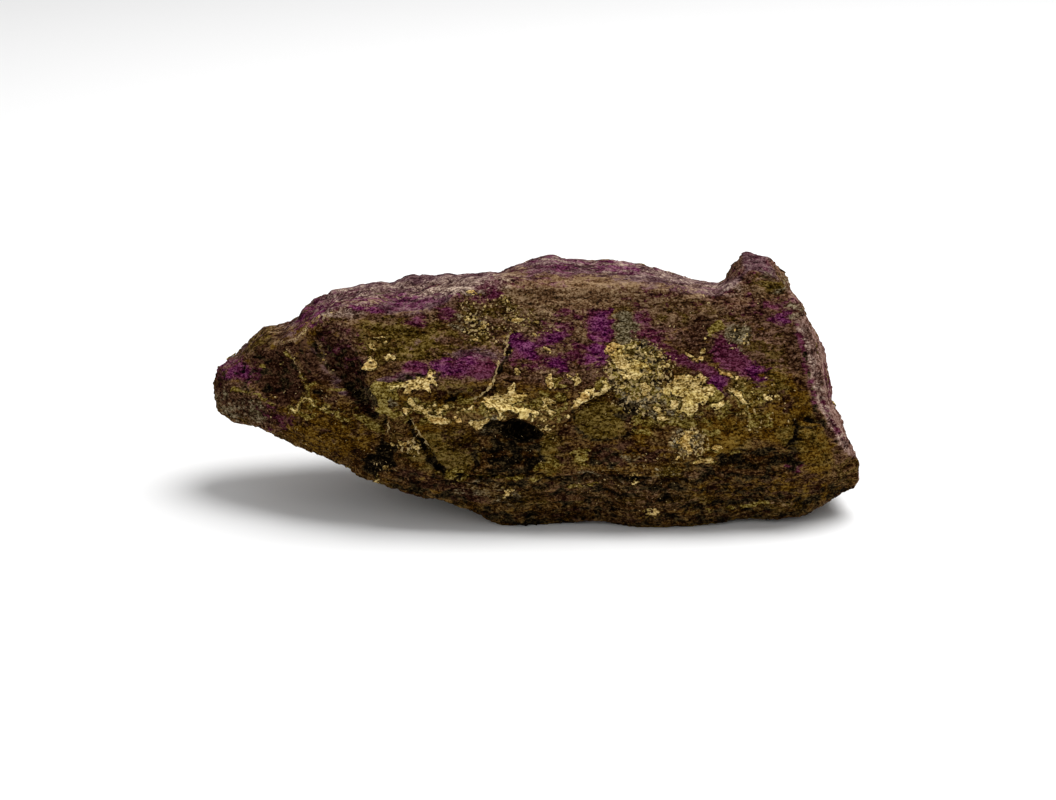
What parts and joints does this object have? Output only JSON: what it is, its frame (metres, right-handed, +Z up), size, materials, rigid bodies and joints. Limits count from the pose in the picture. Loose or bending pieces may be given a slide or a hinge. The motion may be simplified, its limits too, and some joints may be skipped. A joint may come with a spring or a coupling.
{
  "type": "purpurite specimen",
  "caption": "Rough elongated purple-brown mineral stone with a blunt tip, a raised knob and a broken end, lying on its flat underside.",
  "frame": {"origin": "middle of the stone's box, at the level of the surface that it rests on", "axes": "+X along the stone from its blunt tip to its broken end, +Y from the front to the back, +Z up"},
  "size_m": [0.13, 0.0476, 0.0506],
  "materials": {
    "stone": "matte"
  },
  "bodies": {
    "root": {"purpurite_specimen": "stone"}
  },
  "joints": []
}
